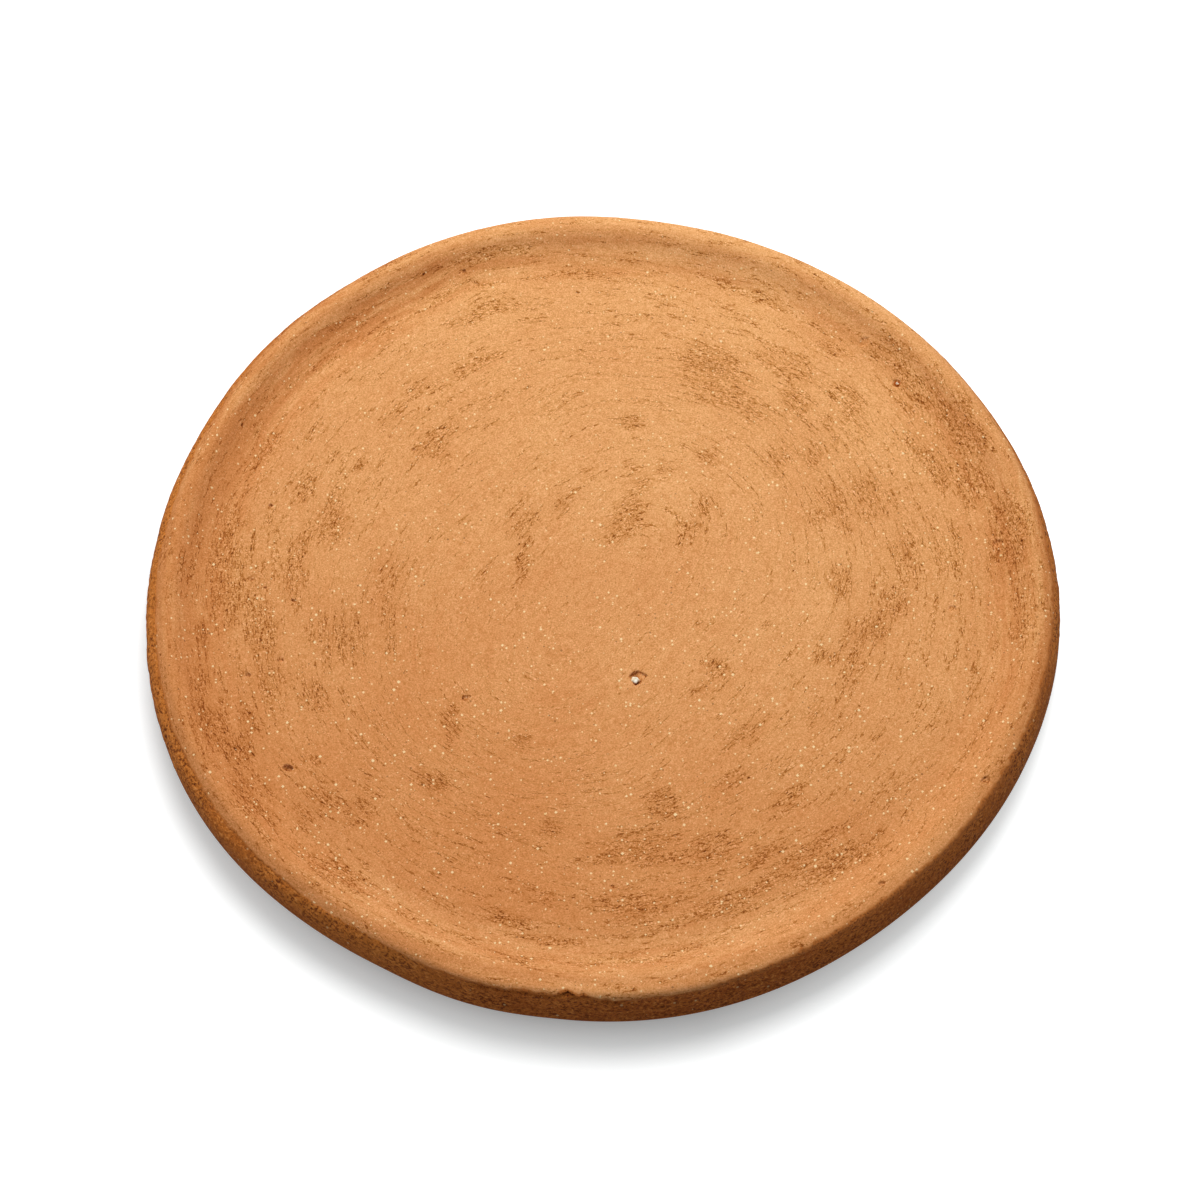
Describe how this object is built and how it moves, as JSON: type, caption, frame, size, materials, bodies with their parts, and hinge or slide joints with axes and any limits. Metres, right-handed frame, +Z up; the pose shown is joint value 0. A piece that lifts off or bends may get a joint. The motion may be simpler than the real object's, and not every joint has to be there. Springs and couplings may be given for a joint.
{
  "type": "comal",
  "caption": "Round clay griddle with a shallow dished cooking face, a low rounded lip and a convex underside, hand-built from slab, coil and slip.",
  "frame": {"origin": "centre of the flat face that the comal rests on", "axes": "+Z up along the axis of the round plate, from the resting face to the cooking face"},
  "size_m": [0.28, 0.28, 0.022],
  "materials": {
    "clay_body": "rough unglazed earthenware, sandy where it was not wiped",
    "wiped_slip": "matt wiped slip with drag marks",
    "temper_grit": "pale matt mineral grains",
    "burnt_lime": "chalky white lime"
  },
  "bodies": {
    "root": {"clay_slab": "clay_body", "rim_coil": "clay_body", "slip_coat": "wiped_slip", "temper_grains": "temper_grit", "lime_nodules": "burnt_lime"}
  },
  "joints": []
}
